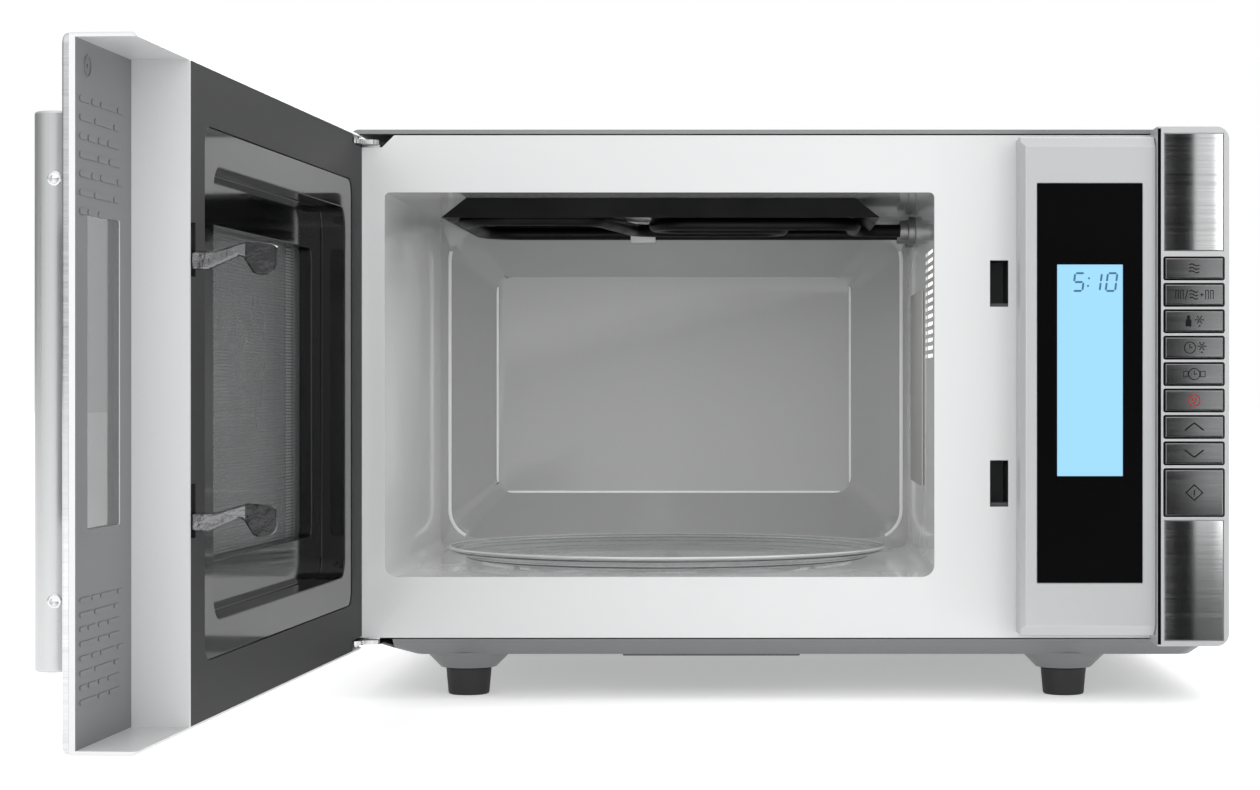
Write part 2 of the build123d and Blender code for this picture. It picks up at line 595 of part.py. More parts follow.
def display_window():
    return face_xz(rect(*grown(DISPLAY, -0.1), 1.4), DOOR_OUT + 0.4, SKIN_IN - 0.4)


def handle_tube():
    height = HANDLE_Z1 - HANDLE_Z0
    tube = rod("z", HANDLE_X, HANDLE_Y, (HANDLE_Z0 + HANDLE_Z1) / 2, HANDLE_R, height)
    tube = fillet(tube.edges(), 1.2)
    for z in POST_Z:
        tube -= rod("y", HANDLE_X, HANDLE_Y + 8, z, POST_R + 0.05, 10)
    return tube


def handle_posts():
    posts = Part()
    for z in POST_Z:
        posts += rod("y", HANDLE_X, (HANDLE_Y + 3 + DOOR_OUT) / 2, z, POST_R, DOOR_OUT - HANDLE_Y - 3)
    return posts


def latch_hooks():
    """The sliding latch lever: one bar with two hooks that point down."""
    def hook(z):
        arm = Polyline((-5, z), (6, z), (19, z + 5.9), (21.2, z + 5.4), (25.4, z - 1.2),
                       (27, z - 2.2), (32, z - 2.2), (34.6, z - 0.6), (35.8, z + 2.4), (35.8, z + 10.2),
                       (33, z + 11.3), (23, z + 12.1), (9, z + 8), (-5, z + 8), close=True)
        blade = extrude(make_face(arm), HOOK_X1 - HOOK_X0)
        return Pos(HOOK_X0, 0, 0) * Rot(0, 90, 0) * Rot(0, 0, 90) * blade

    bar = box(HOOK_X0, HOOK_X1, -12, -4, 105, 242)
    return bar + [hook(z) for z in HOOK_Z]


def latch_spring():
    path = Helix(pitch=2.6, height=20.8, radius=2.6)
    section = Plane(origin=path @ 0, z_dir=path % 0) * Circle(0.45)
    return Pos((HOOK_X0 + HOOK_X1) / 2, -8, 83.2) * sweep(section, path=path)


# ---------------------------------------------------------------- the whole oven
CABINET = (outer_casing, rear_panel, base_pan, feet, front_plate, cavity_liner, cavity_ceiling,
           cavity_back, grill_element, grill_reflector, grill_clip, grill_bushes, waveguide_cover,
           glass_tray, turntable_coupler, roller_ring, turntable_motor, control_fascia,
           display_panel, lcd_display, key_column, trim_panels, control_board, latch_interlock,
           door_switches, waveguide, magnetron, transformer, capacitor, fan_housing, fan_motor, fan_blade,
           cavity_lamp, cord_gland, casing_screws, hinge_brackets)
DOOR_PARTS = (door_panel, door_glass, door_frame, choke_cover, window_bezel, inner_window,
              window_screen, display_window, handle_tube, handle_posts, latch_hooks, latch_spring)

os.makedirs("parts", exist_ok=True)
for make in CABINET:
    save(make.__name__, make())
for make in DOOR_PARTS:
    save(make.__name__, make(), OPEN)
for i in range(3):
    save(f"roller_{i + 1}", roller(i))
for i, name in enumerate(KEYS):
    save(name, key(i))
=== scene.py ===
"""Looks for the countertop microwave oven: finishes, lamps, camera and the pieces too fine for CAD.

Lengths below are in millimetres unless a name ends in _m; MM turns them into metres. Door pieces are
drawn with the door closed and then carried by OPENED to where the door stands at rest.
"""
import bpy
import bmesh
import json
from math import cos, sin, pi, radians
from mathutils import Matrix, Vector


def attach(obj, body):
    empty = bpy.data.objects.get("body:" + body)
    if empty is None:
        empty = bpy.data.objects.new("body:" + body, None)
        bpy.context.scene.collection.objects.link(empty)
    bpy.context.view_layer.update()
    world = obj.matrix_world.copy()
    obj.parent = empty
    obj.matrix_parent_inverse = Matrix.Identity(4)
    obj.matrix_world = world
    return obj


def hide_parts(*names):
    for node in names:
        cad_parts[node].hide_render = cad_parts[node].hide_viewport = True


MM = 0.001
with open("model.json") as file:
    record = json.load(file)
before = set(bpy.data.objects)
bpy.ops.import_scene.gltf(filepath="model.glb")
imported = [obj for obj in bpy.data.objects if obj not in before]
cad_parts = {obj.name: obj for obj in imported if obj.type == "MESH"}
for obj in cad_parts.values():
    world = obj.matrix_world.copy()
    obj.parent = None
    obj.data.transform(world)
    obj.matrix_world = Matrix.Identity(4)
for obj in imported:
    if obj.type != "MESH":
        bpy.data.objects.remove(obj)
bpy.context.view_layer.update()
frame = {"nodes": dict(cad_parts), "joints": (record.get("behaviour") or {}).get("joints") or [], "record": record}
record = frame["record"]
nodes = frame["nodes"]

# ------------------------------------------------------------------ where things are
hinge = next(j for j in frame["joints"] if j["name"] == "door_hinge")
HINGE_POINT = Vector(hinge["pos_m"])
OPEN_ANGLE = -radians(hinge["range_deg"][0])
OPENED = (Matrix.Translation(HINGE_POINT) @ Matrix.Rotation(OPEN_ANGLE, 4, Vector(hinge["axis"]))
          @ Matrix.Translation(-HINGE_POINT))


def span(node, closed=False):
    """Lowest and highest corner of a CAD node in millimetres, with the door closed if asked."""
    back = OPENED.inverted() if closed else Matrix.Identity(4)
    points = [back @ v.co for v in nodes[node].data.vertices]
    low = Vector([min(p[i] for p in points) for i in range(3)]) / MM
    high = Vector([max(p[i] for p in points) for i in range(3)]) / MM
    return low, high


plate_low, plate_high = span("front_plate")
MID_X = (plate_low.x + plate_high.x) / 2        # the cabinet's mid-width
FACE_Y = plate_low.y                            # face of the front plate


def at(x, y, z):
    """A point of the cabinet's own frame: from mid-width, the front plate's face and the feet."""
    return Vector(((MID_X + x) * MM, (FACE_Y + y) * MM, z * MM))


# ------------------------------------------------------------------ mesh helpers
def new_mesh(name, verts, faces, smooth=False):
    mesh = bpy.data.meshes.new(name)
    mesh.from_pydata([tuple(v) for v in verts], [], faces)
    mesh.validate()
    if smooth:
        mesh.shade_smooth()
    piece = bpy.data.objects.new(name, mesh)
    bpy.context.scene.collection.objects.link(piece)
    return piece


def made_solid(piece, merge=0.0):
    """Joins points closer than merge millimetres and turns all faces outward."""
    shape = bmesh.new()
    shape.from_mesh(piece.data)
    if merge:
        bmesh.ops.remove_doubles(shape, verts=shape.verts, dist=merge * MM)
    bmesh.ops.recalc_face_normals(shape, faces=shape.faces)
    shape.to_mesh(piece.data)
    shape.free()
    return piece


def edge_softened(piece, width, segments=2, angle=30):
    """Rounds the sharp edges by width millimetres, with hardened normals along them."""
    bevel = piece.modifiers.new("edges", "BEVEL")
    bevel.width = width * MM
    bevel.segments = segments
    bevel.limit_method = "ANGLE"
    bevel.angle_limit = radians(angle)
    bevel.harden_normals = True
    return piece


def refined(node, width, angle=30):
    """A cleaned copy of a CAD node with rounded edges, shown in its place."""
    mesh = nodes[node].data.copy()
    piece = bpy.data.objects.new(node + "_finished", mesh)
    bpy.context.scene.collection.objects.link(piece)
    shape = bmesh.new()
    shape.from_mesh(mesh)
    bmesh.ops.remove_doubles(shape, verts=shape.verts, dist=0.004 * MM)
    bmesh.ops.dissolve_limit(shape, angle_limit=radians(0.6), verts=shape.verts, edges=shape.edges)
    for face in shape.faces:
        face.smooth = True
    for edge in shape.edges:
        edge.smooth = len(edge.link_faces) == 2 and edge.calc_face_angle(0) < radians(angle)
    shape.to_mesh(mesh)
    shape.free()
    if mesh.has_custom_normals:
        mesh.normals_split_custom_set([(0, 0, 0)] * len(mesh.loops))
    edge_softened(piece, width, angle=angle)
    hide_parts(node)
    return placed(piece, body_of[node], slot_of[node])


def placed(piece, body, slot):
    """Puts a piece on its body with its finish."""
    piece.data.materials.clear()
    piece.data.materials.append(finish(slot))
    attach(piece, body)
    return piece


slot_of = {s["node"]: s["material_slot"] for s in record["subparts"]}
body_of = {n: b for b, members in record["behaviour"]["bodies"].items() for n in members}


# ------------------------------------------------------------------ shader parts shared by finishes
def socket(group, name, kind, side, value=None):
    made = group.interface.new_socket(name=name, in_out=side, socket_type=kind)
    if value is not None:
        made.default_value = value
    return made


def drift_group():
    """Slow change over a surface: a value between Low and High."""
    group = bpy.data.node_groups.new("Surface Drift", "ShaderNodeTree")
    socket(group, "Scale", "NodeSocketFloat", "INPUT", 8.0)
    socket(group, "Low", "NodeSocketFloat", "INPUT", 0.3)
    socket(group, "High", "NodeSocketFloat", "INPUT", 0.4)
    socket(group, "Value", "NodeSocketFloat", "OUTPUT")
    n, link = group.nodes, group.links.new
    source, out = n.new("NodeGroupInput"), n.new("NodeGroupOutput")
    place, noise = n.new("ShaderNodeTexCoord"), n.new("ShaderNodeTexNoise")
    spread = n.new("ShaderNodeMapRange")
    noise.inputs["Detail"].default_value = 4
    link(place.outputs["Object"], noise.inputs["Vector"])
    link(source.outputs["Scale"], noise.inputs["Scale"])
    link(noise.outputs["Fac"], spread.inputs["Value"])
    spread.inputs["From Min"].default_value = 0.3
    spread.inputs["From Max"].default_value = 0.7
    link(source.outputs["Low"], spread.inputs["To Min"])
    link(source.outputs["High"], spread.inputs["To Max"])
    link(spread.outputs["Result"], out.inputs["Value"])
    return group


def brushed_group():
    """Fine parallel scratches: long along the axis whose stretch is small."""
    group = bpy.data.node_groups.new("Brushed Grain", "ShaderNodeTree")
    socket(group, "Stretch", "NodeSocketVector", "INPUT", (40, 40, 2500))
    socket(group, "Value", "NodeSocketFloat", "OUTPUT")
    n, link = group.nodes, group.links.new
    source, out = n.new("NodeGroupInput"), n.new("NodeGroupOutput")
    place, scale = n.new("ShaderNodeTexCoord"), n.new("ShaderNodeVectorMath")
    scale.operation = "MULTIPLY"
    fine, broad, both = n.new("ShaderNodeTexNoise"), n.new("ShaderNodeTexNoise"), n.new("ShaderNodeMath")
    fine.inputs["Scale"].default_value, broad.inputs["Scale"].default_value = 1.0, 0.23
    fine.inputs["Detail"].default_value, broad.inputs["Detail"].default_value = 3, 2
    both.operation = "MULTIPLY_ADD"
    both.inputs[1].default_value = 0.5
    half = n.new("ShaderNodeMath")
    half.operation = "MULTIPLY"
    half.inputs[1].default_value = 0.5
    link(place.outputs["Object"], scale.inputs[0])
    link(source.outputs["Stretch"], scale.inputs[1])
    for noise in (fine, broad):
        link(scale.outputs["Vector"], noise.inputs["Vector"])
    link(broad.outputs["Fac"], half.inputs[0])
    link(fine.outputs["Fac"], both.inputs[0])
    link(half.outputs[0], both.inputs[2])
    link(both.outputs[0], out.inputs["Value"])
    return group


def mould_grain_group():
    """The fine pebble grain of a spark-eroded mould."""
    group = bpy.data.node_groups.new("Mould Grain", "ShaderNodeTree")
    socket(group, "Grains Per Metre", "NodeSocketFloat", "INPUT", 1400.0)
    socket(group, "Height", "NodeSocketFloat", "OUTPUT")
    socket(group, "Speckle", "NodeSocketFloat", "OUTPUT")
    n, link = group.nodes, group.links.new
    source, out = n.new("NodeGroupInput"), n.new("NodeGroupOutput")
    place, cells = n.new("ShaderNodeTexCoord"), n.new("ShaderNodeTexVoronoi")
    noise = n.new("ShaderNodeTexNoise")
    noise.inputs["Detail"].default_value = 2
    mix = n.new("ShaderNodeMath")
    mix.operation = "ADD"
    link(place.outputs["Object"], cells.inputs["Vector"])
    link(place.outputs["Object"], noise.inputs["Vector"])
    link(source.outputs["Grains Per Metre"], cells.inputs["Scale"])
    link(source.outputs["Grains Per Metre"], noise.inputs["Scale"])
    link(cells.outputs["Distance"], mix.inputs[0])
    link(noise.outputs["Fac"], mix.inputs[1])
    link(mix.outputs[0], out.inputs["Height"])
    link(noise.outputs["Fac"], out.inputs["Speckle"])
    return group


DRIFT, BRUSHED, MOULD = drift_group(), brushed_group(), mould_grain_group()


class Finish:
    """A material under construction: its Principled shader and the links into it."""

    def __init__(self, name, color, roughness, metallic=0.0, **plain):
        self.material = bpy.data.materials.new(name)
        self.material.use_nodes = True
        self.nodes, self.link = self.material.node_tree.nodes, self.material.node_tree.links.new
        self.shader = self.nodes["Principled BSDF"]
        self.shader.inputs["Base Color"].default_value = (*color, 1)
        self.shader.inputs["Roughness"].default_value = roughness
        self.shader.inputs["Metallic"].default_value = metallic
        for key, value in plain.items():
            self.shader.inputs[key.replace("_", " ").title().replace("Ior", "IOR")].default_value = value
        self.color = color

    def group(self, tree, **values):
        node = self.nodes.new("ShaderNodeGroup")
        node.node_tree = tree
        for key, value in values.items():
            node.inputs[key.replace("_", " ").title()].default_value = value
        return node

    def drifting_roughness(self, low, high, scale=9.0):
        drift = self.group(DRIFT, scale=scale, low=low, high=high)
        self.link(drift.outputs["Value"], self.shader.inputs["Roughness"])

    def tinted(self, value, darker, lighter):
        """Mixes the base colour between two brightnesses by a value output."""
        mix = self.nodes.new("ShaderNodeMix")
        mix.data_type = "RGBA"
        mix.inputs["A"].default_value = (*[c * darker for c in self.color], 1)
        mix.inputs["B"].default_value = (*[c * lighter for c in self.color], 1)
        self.link(value, mix.inputs["Factor"])
        self.link(mix.outputs["Result"], self.shader.inputs["Base Color"])

    def drifting_color(self, darker=0.96, lighter=1.03, scale=5.0):
        drift = self.group(DRIFT, scale=scale, low=0.0, high=1.0)
        self.tinted(drift.outputs["Value"], darker, lighter)

    def bump(self, height, strength, depth_mm):
        bump = self.nodes.new("ShaderNodeBump")
        bump.inputs["Strength"].default_value = strength
        bump.inputs["Distance"].default_value = depth_mm * MM
        self.link(height, bump.inputs["Height"])
        self.link(bump.outputs["Normal"], self.shader.inputs["Normal"])

    def wavy(self, scale, depth_mm, strength=0.3):
        """The slight orange peel of paint or enamel."""
        drift = self.group(DRIFT, scale=scale, low=0.0, high=1.0)
        self.bump(drift.outputs["Value"], strength, depth_mm)


def enamel(name, color, low, high, peel=0.02, coat=0.0):
    made = Finish(name, color, low, coat_weight=coat, coat_roughness=0.05)
    made.drifting_roughness(low, high)
    made.drifting_color(0.985, 1.01)
    made.wavy(420, peel)
    return made.material


def brushed_metal(name, color, stretch, low, high, anisotropic=0.6, tint=0.12, depth=0.25):
    made = Finish(name, color, low, 1.0, anisotropic=anisotropic)
    grain = made.group(BRUSHED)
    grain.inputs["Stretch"].default_value = stretch
    rough = made.nodes.new("ShaderNodeMapRange")
    rough.inputs["From Min"].default_value, rough.inputs["From Max"].default_value = 0.3, 0.7
    rough.inputs["To Min"].default_value, rough.inputs["To Max"].default_value = low, high
    made.link(grain.outputs["Value"], rough.inputs["Value"])
    made.link(rough.outputs["Result"], made.shader.inputs["Roughness"])
    made.tinted(grain.outputs["Value"], 1 - tint, 1 + tint)
    made.bump(grain.outputs["Value"], depth, 0.01)
    return made.material


def moulded(name, color, roughness, grains=1400.0, depth=0.05, strength=0.5, speckle=0.2, **plain):
    made = Finish(name, color, roughness, **plain)
    grain = made.group(MOULD, grains_per_metre=grains)
    made.tinted(grain.outputs["Speckle"], 1 - speckle, 1 + speckle)
    made.bump(grain.outputs["Height"], strength, depth)
    return made.material


def gloss(name, color, low, high, **plain):
    made = Finish(name, color, low, **plain)
    made.drifting_roughness(low, high, 14)
    made.drifting_color(0.9, 1.1, 9)
    return made.material


def tray_glass(name, color, alpha):
    """Clear pressed glass, part refracting and part let straight through."""
    made = Finish(name, color, 0.03, transmission_weight=1.0, ior=1.45, alpha=alpha)
    made.drifting_roughness(0.02, 0.06, 20)
    return made.material


def tinted_pane(name, color, alpha):
    """A thin clear pane: what is behind it shows through, and it still shines."""
    made = Finish(name, color, 0.02, alpha=alpha, specular_ior_level=0.6)
    made.drifting_roughness(0.015, 0.05, 12)
    return made.material


def bare_metal(name, color, low, high, bumps=0.0, bump_scale=60.0):
    made = Finish(name, color, low, 1.0)
    made.drifting_roughness(low, high, 30)
    made.drifting_color(0.93, 1.05, 45)
    if bumps:
        made.wavy(bump_scale, bumps, 0.6)
    return made.material


def lit_display(name, color, strength):
    made = Finish(name, [c * 0.1 for c in color], 0.12, emission_color=(*color, 1),
                  emission_strength=strength, specular_ior_level=0.2)
    drift = made.group(DRIFT, scale=6.0, low=0.0, high=1.0)
    made.tinted(drift.outputs["Value"], 0.97, 1.03)
    return made.material


ACROSS = (30, 60, 2600)        # scratches run left to right
UPRIGHT = (1800, 1800, 14)     # scratches run up and down
FINISHES = {
    "casing_paint": lambda n: enamel(n, (0.215, 0.218, 0.222), 0.30, 0.40, 0.03),
    "white_enamel": lambda n: enamel(n, (0.63, 0.634, 0.638), 0.16, 0.26, 0.015, 0.3),
    "cavity_enamel": lambda n: enamel(n, (0.42, 0.422, 0.422), 0.10, 0.16, 0.012, 0.4),
    "galvanised_sheet": lambda n: bare_metal(n, (0.50, 0.51, 0.52), 0.36, 0.44),
    "base_sheet": lambda n: enamel(n, (0.17, 0.173, 0.176), 0.35, 0.45, 0.03),
    "foot_rubber": lambda n: moulded(n, (0.018, 0.018, 0.018), 0.62, 900, 0.06),
    "silver_plastic": lambda n: moulded(n, (0.48, 0.485, 0.49), 0.36, 2600, 0.006, 0.25, 0.05,
                                        metallic=0.25, coat_weight=0.15, coat_roughness=0.2),
    "black_gloss": lambda n: gloss(n, (0.003, 0.003, 0.0033), 0.05, 0.10, specular_ior_level=0.2),
    "lcd": lambda n: lit_display(n, (0.34, 0.67, 0.90), 1.0),
    "brushed_trim": lambda n: brushed_metal(n, (0.60, 0.605, 0.61), ACROSS, 0.10, 0.16, 0.0, 0.3, 0.10),
    "key_plastic": lambda n: brushed_metal(n, (0.27, 0.273, 0.277), ACROSS, 0.14, 0.22, 0.0, 0.08, 0.08),
    "choke_plastic": lambda n: moulded(n, (0.020, 0.020, 0.021), 0.55, 1100, 0.07, 0.7, 0.3,
                                       specular_ior_level=0.22),
    "window_glass": lambda n: tinted_pane(n, (0.55, 0.58, 0.58), 0.10),
    "dark_glass": lambda n: tinted_pane(n, (0.012, 0.012, 0.013), 0.78),
    "screen_metal": lambda n: gloss(n, (0.02, 0.02, 0.021), 0.25, 0.35),
    "tray_glass": lambda n: tray_glass(n, (0.95, 0.98, 0.97), 0.5),
    # a brighter copy of cavity_enamel for the side walls: painted light; the back wall keeps the darker copy
    "liner_enamel": lambda n: enamel(n, (0.88, 0.882, 0.882), 0.10, 0.16, 0.012, 0.4),
    # whiter than the cavity enamel: painted highlight on the dish's bends
    "bead_enamel": lambda n: enamel(n, (0.95, 0.952, 0.952), 0.12, 0.2, 0.012, 0.4),
    # pale hoops on the tray: painted highlight
    "glass_edge": lambda n: tinted_pane(n, (0.90, 0.94, 0.93), 0.75),
    # dark hoops on the tray: painted shade
    "glass_shade": lambda n: tinted_pane(n, (0.06, 0.065, 0.065), 0.7),
    "ceramic": lambda n: bare_metal(n, (0.30, 0.30, 0.30), 0.25, 0.4),
    "clip_steel": lambda n: bare_metal(n, (0.75, 0.75, 0.75), 0.3, 0.45),
    "lamp_glow": lambda n: lit_display(n, (1.0, 0.99, 0.97), 0.9),
    "polished_steel": lambda n: bare_metal(n, (0.70, 0.70, 0.71), 0.10, 0.2),
    "handle_steel": lambda n: brushed_metal(n, (0.58, 0.585, 0.59), UPRIGHT, 0.24, 0.36, 0.5, 0.05),
    "grill_metal": lambda n: bare_metal(n, (0.018, 0.018, 0.019), 0.35, 0.55, 0.02, 300),
    "mica": lambda n: moulded(n, (0.42, 0.42, 0.41), 0.35, 300, 0.03, 0.3, 0.06),
    "grey_plastic": lambda n: moulded(n, (0.10, 0.105, 0.11), 0.45),
    "white_plastic": lambda n: moulded(n, (0.60, 0.605, 0.61), 0.36, 2200, 0.008, 0.25, 0.04,
                                       metallic=0.1),
    "circuit_green": lambda n: gloss(n, (0.02, 0.12, 0.04), 0.25, 0.4),
    "copper_winding": lambda n: brushed_metal(n, (0.45, 0.16, 0.06), ACROSS, 0.3, 0.45),
    "mark_ink": lambda n: gloss(n, (0.006, 0.006, 0.0065), 0.45, 0.6, specular_ior_level=0.15),
    "stop_red": lambda n: gloss(n, (0.30, 0.012, 0.010), 0.4, 0.5, specular_ior_level=0.2),
    # the door frame's plastic made darker for the inner skin: painted shade
    "skin_plastic": lambda n: moulded(n, (0.155, 0.157, 0.16), 0.42, 1800, 0.012, 0.35, 0.06),
    "hook_steel": lambda n: bare_metal(n, (0.19, 0.19, 0.195), 0.10, 0.2, 0.5, 150),
    # darker steel on the hook heads: painted dark reflection
    "hook_head": lambda n: bare_metal(n, (0.05, 0.05, 0.052), 0.08, 0.16, 0.8, 190),
    "bezel_gloss": lambda n: gloss(n, (0.003, 0.003, 0.0033), 0.05, 0.10, specular_ior_level=0.55),
    "display_pane": lambda n: tinted_pane(n, (0.08, 0.082, 0.085), 0.58),
    "lcd_ink": lambda n: gloss(n, (0.035, 0.13, 0.24), 0.3, 0.45),
    "latch_metal": lambda n: bare_metal(n, (0.20, 0.20, 0.205), 0.16, 0.34, 0.25, 180),
}
made_finishes = {}


def finish(slot):
    if slot not in made_finishes:
        made_finishes[slot] = FINISHES[slot](slot)
    return made_finishes[slot]


for node, piece in nodes.items():
    piece.data.materials.clear()
    piece.data.materials.append(finish(slot_of[node]))


# ------------------------------------------------------------------ camera, floor and lamps
def camera():
    """Straight at the front from 1.56 m, a little left of the middle, with a shifted lens."""
    data = bpy.data.cameras.new("camera")
    data.sensor_width = 36
    data.lens = 78.77
    data.shift_x, data.shift_y = -0.1008, -0.0056
    data.clip_end = 20
    view = bpy.data.objects.new("camera", data)
    view.location = at(-15.7, -1558, 177)
    view.rotation_euler = (pi / 2, 0, 0)
    bpy.context.scene.collection.objects.link(view)
    bpy.context.scene.camera = view


def area_lamp(name, where, aim, size, power):
    data = bpy.data.lights.new(name, "AREA")
    data.shape = "RECTANGLE"
    data.size, data.size_y = size
    data.energy = power
    lamp = bpy.data.objects.new(name, data)
    lamp.location = at(*where)
    lamp.rotation_euler = (at(*aim) - lamp.location).to_track_quat("-Z", "Y").to_euler()
    bpy.context.scene.collection.objects.link(lamp)
    return lamp


SIDE_GLOW, FRONT_GLOW, TOP_GLOW = 0.20, 0.66, 0.98


def studio():
    """A pale room, brightest in front and above, and its soft lamps."""
    world = bpy.data.worlds.new("studio")
    world.use_nodes = True
    bpy.context.scene.world = world
    n, link = world.node_tree.nodes, world.node_tree.links.new
    glow, place, parts = n["Background"], n.new("ShaderNodeTexCoord"), n.new("ShaderNodeSeparateXYZ")
    link(place.outputs["Generated"], parts.inputs["Vector"])

    def scaled(value, factor):
        node = n.new("ShaderNodeMath")
        node.operation, node.use_clamp = "MULTIPLY", factor in (1.0, -1.0)
        link(value, node.inputs[0])
        node.inputs[1].default_value = factor
        return node.outputs[0]

    def total(a, b):
        node = n.new("ShaderNodeMath")
        link(a, node.inputs[0])
        if isinstance(b, float):
            node.inputs[1].default_value = b
        else:
            link(b, node.inputs[1])
        return node.outputs[0]

    front = scaled(scaled(parts.outputs["Y"], -1.0), FRONT_GLOW)
    up = scaled(scaled(parts.outputs["Z"], 1.0), TOP_GLOW)
    tone = total(total(front, up), SIDE_GLOW)
    seen, mix = n.new("ShaderNodeLightPath"), n.new("ShaderNodeMix")
    mix.data_type = "FLOAT"
    link(seen.outputs["Is Camera Ray"], mix.inputs["Factor"])
    link(tone, mix.inputs["A"])
    mix.inputs["B"].default_value = 1.0
    link(mix.outputs["Result"], glow.inputs["Strength"])
    glow.inputs["Color"].default_value = (1, 1, 1, 1)
    outside = area_lamp("front_softbox", (-15, -1900, 850), (0, 0, 150), (2.6, 1.1), 12)
    inside = area_lamp("cavity_fill", (-60, 90, 262), (-70, 170, 60), (0.22, 0.10), 0.14)
    outside.visible_glossy = inside.visible_glossy = False
    area_lamp("back_softbox", (300, 1600, 1200), (0, 200, 150), (1.2, 1.0), 14)
    area_lamp("right_strip", (950, -1700, 330), (-60, 0, 170), (0.10, 1.0), 0.9)


def flag(name, outline, tone):
    """A dark card that only shiny faces see, as a dark edge in their reflection."""
    card = new_mesh(name, [at(*corner) for corner in outline], [(0, 1, 2, 3)])
    card.data.materials.append(Finish(name + "_cloth", (tone,) * 3, 1.0, specular_ior_level=0.0).material)
    for kind in ("visible_camera", "visible_diffuse", "visible_shadow", "visible_transmission"):
        setattr(card, kind, False)


def flags():
    """One black card upright in front at the right, and three on the floor about it."""
    left, right, far, near, z = 128, 332, -700, -60, 2
    flag("upright_flag", [(left, far, 0), (right, far, 0), (right, far, 700), (left, far, 700)], 0.01)
    flag("floor_flag", [(206, near, z), (228, near, z), (right, far, z), (left, far, z)], 0.01)
    flag("grey_floor_flag", [(228, near, z), (300, near, z), (760, far, z), (right, far, z)], 0.10)
    flag("far_grey_flag", [(right, far, z), (760, far, z), (1500, -2000, z), (500, -2000, z)], 0.16)


def floor():
    size = 60.0
    ground = new_mesh("floor", [(-size, -size, 0), (size, -size, 0), (size, size, 0), (-size, size, 0)],
                      [(0, 1, 2, 3)])
    paper = Finish("floor_paper", (0.96, 0.96, 0.96), 0.9, specular_ior_level=0.1,
                   emission_color=(1, 1, 1, 1), emission_strength=0.34)
    ground.data.materials.append(paper.material)


# ------------------------------------------------------------------ drawing on flat faces
def solid_print(name, sheets, place, height):
    """Raises flat sheets of (points, faces) by height millimetres; place(u, v, h) puts a point."""
    verts, faces = [], []
    for points, polygons in sheets:
        first, count = len(verts), len(points)
        verts += [place(u, v, 0) for u, v in points] + [place(u, v, height) for u, v in points]
        used = {}
        for polygon in polygons:
            faces.append([first + count + i for i in polygon])
            faces.append([first + i for i in reversed(polygon)])
            for a, b in zip(polygon, polygon[1:] + polygon[:1]):
                used[(a, b)] = True
        for a, b in used:
            if (b, a) not in used:
                faces.append([first + a, first + b, first + count + b, first + count + a])
    return made_solid(new_mesh(name, verts, faces))


def ribbon(points, width, closed=False):
    """A flat line of even width along 2-D points."""
    count, left, right = len(points), [], []
    for i, (x, y) in enumerate(points):
        before = points[i - 1] if i or closed else points[i]
        after = points[(i + 1) % count] if i < count - 1 or closed else points[i]
        a, b = Vector((x, y)) - Vector(before), Vector(after) - Vector((x, y))
        a = a.normalized() if a.length else b.normalized()
        b = b.normalized() if b.length else a
        along = (a + b).normalized()
        spread = width / 2 / max(0.5, along.dot(a))
        side = Vector((-along.y, along.x)) * spread
        left.append((x + side.x, y + side.y))
        right.append((x - side.x, y - side.y))
    runs = count if closed else count - 1
    quads = [[i, count + i, count + (i + 1) % count, (i + 1) % count] for i in range(runs)]
    return left + right, quads


def ring(x, y, r, width, steps=40):
    return ribbon([(x + r * cos(2 * pi * i / steps), y + r * sin(2 * pi * i / steps))
                   for i in range(steps)], width, True)


def disc(x, y, r, steps=14):
    points = [(x + r * cos(2 * pi * i / steps), y + r * sin(2 * pi * i / steps)) for i in range(steps)]
    return points, [list(range(steps))]


def patch(*points):
    return list(points), [list(range(len(points)))]


def arc_points(x, y, r, start, end, steps=8):
    return [(x + r * cos(radians(start + (end - start) * i / steps)),
             y + r * sin(radians(start + (end - start) * i / steps))) for i in range(steps + 1)]


# ------------------------------------------------------------------ key marks
LINE = 0.6                      # width of a printed line
GAP = 0.55                      # from a key's edge to the middle of the line around it


def waves(x, width, rows=3, gap=1.9, rise=0.55):
    lines = []
    for row in range(rows):
        y = (row - (rows - 1) / 2) * gap
        lines.append(ribbon([(x + width * (i / 16 - 0.5), y + rise * sin(2 * pi * i / 16))
                             for i in range(17)], LINE))
    return lines


def heater_mark(x):
    """A grill bar seen from the front: two hairpins side by side."""
    return [ribbon([(x + d - 0.75, -2.4), (x + d - 0.75, 2.4), (x + d + 0.75, 2.4), (x + d + 0.75, -2.4)],
                   LINE * 0.75) for d in (-1.35, 1.35)]


def snow_mark(x, y, r=2.1):
    dots = [disc(x + r * cos(pi * i / 3) * k, y + r * sin(pi * i / 3) * k, 0.42)
            for i in range(6) for k in (0.52, 1.0)]
    return dots + [disc(x, y, 0.42), disc(x, y - r - 1.3, 0.5)]


def clock_mark(x, y, r=3.1):
    hands = ribbon([(x, y + r * 0.6), (x, y), (x + r * 0.5, y)], LINE * 0.8)
    return [ring(x, y, r, LINE * 0.8), hands]


def weight_mark(x, y):
    block = patch((x - 1.6, y - 3.0), (x + 1.6, y - 3.0), (x + 1.6, y + 0.6), (x + 0.8, y + 1.4),
                  (x - 0.8, y + 1.4), (x - 1.6, y + 0.6))
    return [block, disc(x, y + 2.3, 1.0)]


def block_mark(x):
    return ribbon([(x - 1.3, -1.5), (x + 1.3, -1.5), (x + 1.3, 1.5), (x - 1.3, 1.5)], LINE * 0.7, True)


